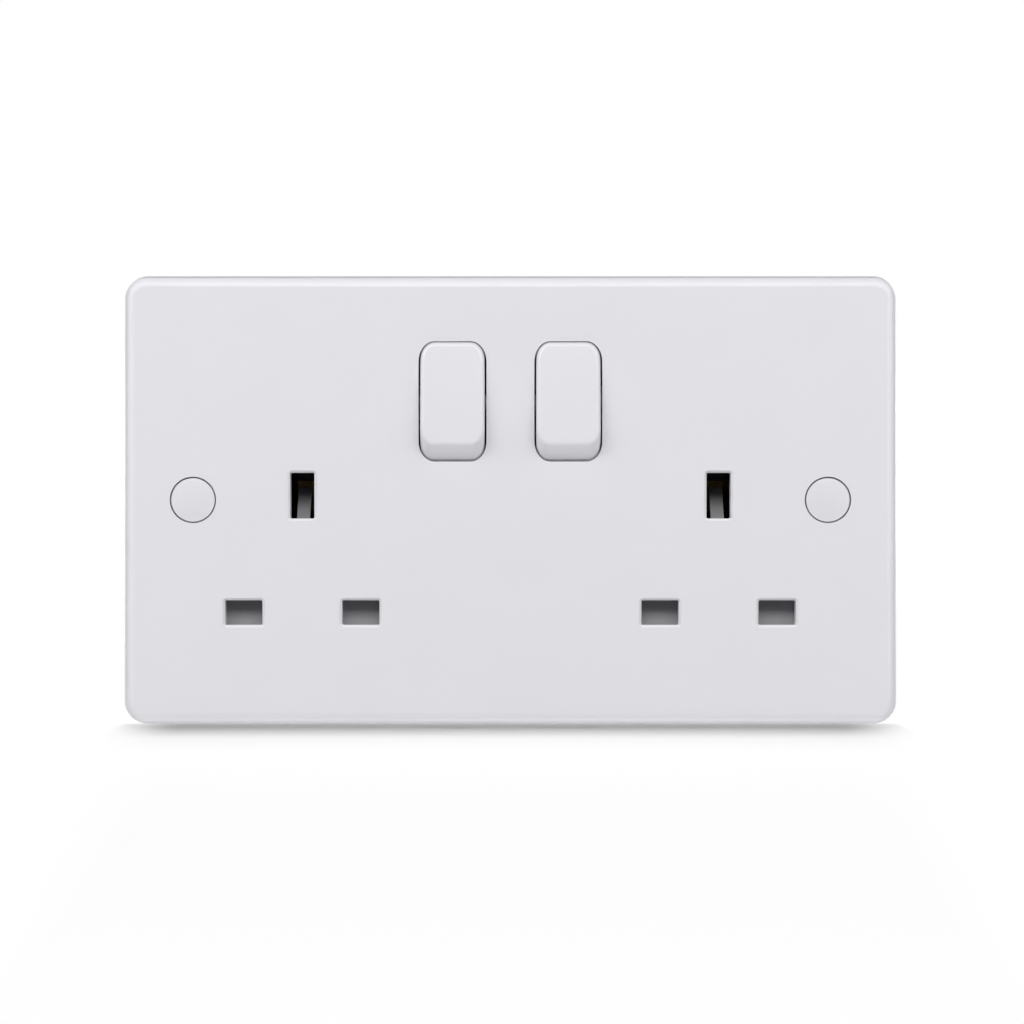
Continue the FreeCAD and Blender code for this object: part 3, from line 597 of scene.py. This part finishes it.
# Pieces that stand for plain solids, and letters
def spring_on_shutter(side, finish):
    node = "shutter_spring_" + side
    low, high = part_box(node)
    radius = (high.x - low.x) / 2 - SHUTTER_SPRING_WIRE
    length = high.z - low.z
    mesh = spring_mesh("wound_" + node, radius, SHUTTER_SPRING_WIRE, length, SHUTTER_SPRING_TURNS)
    mesh.transform(Matrix.Translation(((low.x + high.x) / 2, (low.y + high.y) / 2, low.z)))
    piece = add_object("wound_" + node, mesh)
    set_material(piece, finish)
    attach(piece, "frame")
    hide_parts(node)
    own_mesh(piece)


def spring_in_rocker(side, finish):
    """A spring along its plunger's axis, which leans from Y. Its length comes from its box."""
    node = "plunger_spring_" + side
    low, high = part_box(node)
    joint = JOINTS["plunger_%s_slide" % side]
    axis = Vector(joint["axis"]).normalized()
    middle = (low + high) / 2
    radius = (high.x - low.x) / 2 - PLUNGER_SPRING_WIRE
    tilt = math.acos(min(1.0, abs(axis.y)))
    length = ((high.y - low.y) - (high.x - low.x) * math.sin(tilt)) / math.cos(tilt)
    mesh = spring_mesh("wound_" + node, radius, PLUNGER_SPRING_WIRE, length, PLUNGER_SPRING_TURNS)
    foot = middle + axis * (length / 2)
    mesh.transform(Matrix.Translation(foot) @ (-axis).to_track_quat("Z", "X").to_matrix().to_4x4())
    piece = add_object("wound_" + node, mesh)
    set_material(piece, finish)
    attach(piece, "rocker_" + side)
    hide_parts(node)
    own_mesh(piece)


def threaded_screw(side, finish):
    """A fixing screw with a slot in its head. Its thread starts at the wall face, Y = 0."""
    node = "fixing_screw_" + side
    low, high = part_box(node)
    seat = low.y + HEAD_T
    mesh = screw_mesh("threaded_" + node, high.y - seat, -seat)
    piece = add_object("threaded_" + node, mesh)
    cut_box(piece, (0, 0, -HEAD_T), (3 * HEAD_R, DRIVER_SLOT_W, 2 * DRIVER_SLOT_D))
    middle = (low + high) / 2
    turn = Matrix.Rotation(math.radians(-90), 4, "X")
    piece.data.transform(Matrix.Translation((middle.x, seat, middle.z)) @ turn)
    shade(piece.data, smooth=False)
    set_material(piece, finish)
    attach(piece, "frame")
    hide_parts(node)


def terminal_letter(terminal, letter, finish):
    low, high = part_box("terminal_" + terminal)
    _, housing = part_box("rear_housing")
    piece = add_object("letter_" + terminal, letter_mesh("letter_" + terminal, letter), smooth=False)
    lift = LETTER_LIFT + LETTER_H / 2
    place = ((low.x + high.x) / 2, housing.y + (LETTER_RAISE - LETTER_SINK) / 2, high.z + lift)
    piece.data.transform(Matrix.Translation(place))
    edge = piece.modifiers.new("edge", "BEVEL")
    edge.width = LETTER_RAISE / 3
    edge.segments = 2
    set_material(piece, finish)
    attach(piece, "frame")


# Studio
def stage_piece(name, points, faces, material):
    """A floor or a wall of light paper, which neither lights nor shades the object."""
    piece = add_object(name, mesh_from(name, points, faces), smooth=False)
    set_material(piece, material)
    piece.visible_diffuse = False
    piece.visible_shadow = False
    return piece


def fade_to_white(tree, value, near, far):
    """The floor's own glow: faint up to one distance and full from another on."""
    node = tree.nodes.new("ShaderNodeMapRange")
    node.interpolation_type = "SMOOTHSTEP"
    node.inputs["From Min"].default_value = near
    node.inputs["From Max"].default_value = far
    node.inputs["To Min"].default_value = FLOOR_GLOW
    tree.links.new(value, node.inputs["Value"])
    return node.outputs["Result"]


def floor_material():
    """Pale paper that shows soft shadows near the object and is plain white further out."""
    material, tree, shader, places = new_material("floor_paper")
    reach = measure(tree, "LENGTH", places)
    sizes = vector(tree, "ABSOLUTE", places)
    aside = measure(tree, "DOT_PRODUCT", sizes, (1.0, FLOOR_SIDE_LEAN, 0.0))
    round_glow = fade_to_white(tree, reach, FLOOR_NEAR, FLOOR_FAR)
    side_glow = fade_to_white(tree, aside, FLOOR_SIDE_NEAR, FLOOR_SIDE_FAR)
    glow = number(tree, "MAXIMUM", round_glow, side_glow)
    tint = colour_between(tree, glow, FLOOR_TINT, BLACK, 0.0, 1.0)
    tree.links.new(tint, shader.inputs["Base Color"])
    tree.links.new(glow, shader.inputs["Emission Strength"])
    shader.inputs["Emission Color"].default_value = (*WHITE, 1.0)
    shader.inputs["Roughness"].default_value = FLOOR_ROUGHNESS
    shader.inputs["Specular IOR Level"].default_value = 0.0
    return material


def glow_material():
    """Plain white light."""
    material, _, shader, _ = new_material("surround_glow")
    shader.inputs["Base Color"].default_value = (*BLACK, 1.0)
    shader.inputs["Specular IOR Level"].default_value = 0.0
    shader.inputs["Emission Color"].default_value = (*WHITE, 1.0)
    shader.inputs["Emission Strength"].default_value = 1.0
    return material


def paper_floor(level):
    half = FLOOR_SIZE / 2
    corners = [(x * half, y * half, level) for x, y in ((-1, -1), (1, -1), (1, 1), (-1, 1))]
    return stage_piece("floor", corners, [(0, 1, 2, 3)], floor_material())


def surround(level):
    """A white drum round the whole studio, which isn't mirrored in the object."""
    angles = angles_round(SURROUND_STEPS)
    heights = (level - SURROUND_HALF, level + SURROUND_HALF)
    points = [on_circle(SURROUND_R, angle, height) for height in heights for angle in angles]
    wall = stage_piece("surround", points, tube_faces(2, SURROUND_STEPS), glow_material())
    wall.visible_glossy = False


def softbox(name, place, width, height, power):
    """A rectangular light that faces the object."""
    data = bpy.data.lights.new(name, "AREA")
    data.shape = "RECTANGLE"
    data.size = width
    data.size_y = height
    data.energy = power
    lamp = bpy.data.objects.new(name, data)
    lamp.location = place
    lamp.visible_camera = False
    lamp.rotation_euler = (-Vector(place)).to_track_quat("-Z", "Y").to_euler()
    bpy.context.scene.collection.objects.link(lamp)
    return lamp


def light_group(name, pieces, state="INCLUDE"):
    """A collection that limits a light to some pieces, or keeps it off them."""
    group = bpy.data.collections.new(name)
    for piece in pieces:
        group.objects.link(piece)
    for member in group.collection_objects:
        member.light_linking.link_state = state
    return group


def lights(floor):
    """The softboxes, each kept to its own pieces."""
    shutters = [frame["nodes"]["shutter_" + side] for side in SIDES]
    shell = [frame["nodes"][name] for name in ("front_plate", "rocker_left", "rocker_right")]
    groups = {
        "off_floor": light_group("off_floor", [floor], "EXCLUDE"),
        "off_shutters": light_group("off_shutters", [floor, *shutters], "EXCLUDE"),
        "floor_only": light_group("floor_only", [floor]),
        "shutters_only": light_group("shutters_only", shutters),
        "shell_only": light_group("shell_only", shell),
    }
    for group, boxes in SOFTBOXES.items():
        for name, box in boxes.items():
            softbox(name, *box).light_linking.receiver_collection = groups[group]


def sky():
    """Faint light from all round."""
    world = bpy.data.worlds.new("studio")
    world.use_nodes = True
    background = world.node_tree.nodes["Background"]
    background.inputs["Color"].default_value = (SKY_GREY, SKY_GREY, SKY_GREY, 1.0)
    bpy.context.scene.world = world


def studio():
    floor_z = cad_box[0].z
    floor = paper_floor(floor_z)
    surround(floor_z)
    lights(floor)
    sky()
    bpy.context.scene.view_settings.view_transform = "Standard"


def camera():
    data = bpy.data.cameras.new("camera")
    data.lens = CAMERA_LENS
    data.sensor_width = CAMERA_SENSOR
    eye = bpy.data.objects.new("camera", data)
    eye.location = (CAMERA_ASIDE, -CAMERA_DISTANCE, -CAMERA_DROP)
    eye.rotation_euler = (math.radians(90), 0, 0)
    bpy.context.scene.collection.objects.link(eye)
    bpy.context.scene.camera = eye


def dress():
    """Gives each CAD node its material, then adds springs, fixing screws and letters."""
    materials = finishes()
    slots = slot_of_nodes()
    for name, node in frame["nodes"].items():
        set_material(node, materials[slots[name]])
    for side in SIDES:
        set_material(frame["nodes"]["rocker_" + side], rocker_plastic(side))
        spring_on_shutter(side, materials["spring_steel"])
        spring_in_rocker(side, materials["spring_steel"])
        threaded_screw(side, materials["zinc_steel"])
    for terminal, letter in LETTERS.items():
        terminal_letter(terminal, letter, materials["dark_plastic"])


dress()
studio()
camera()
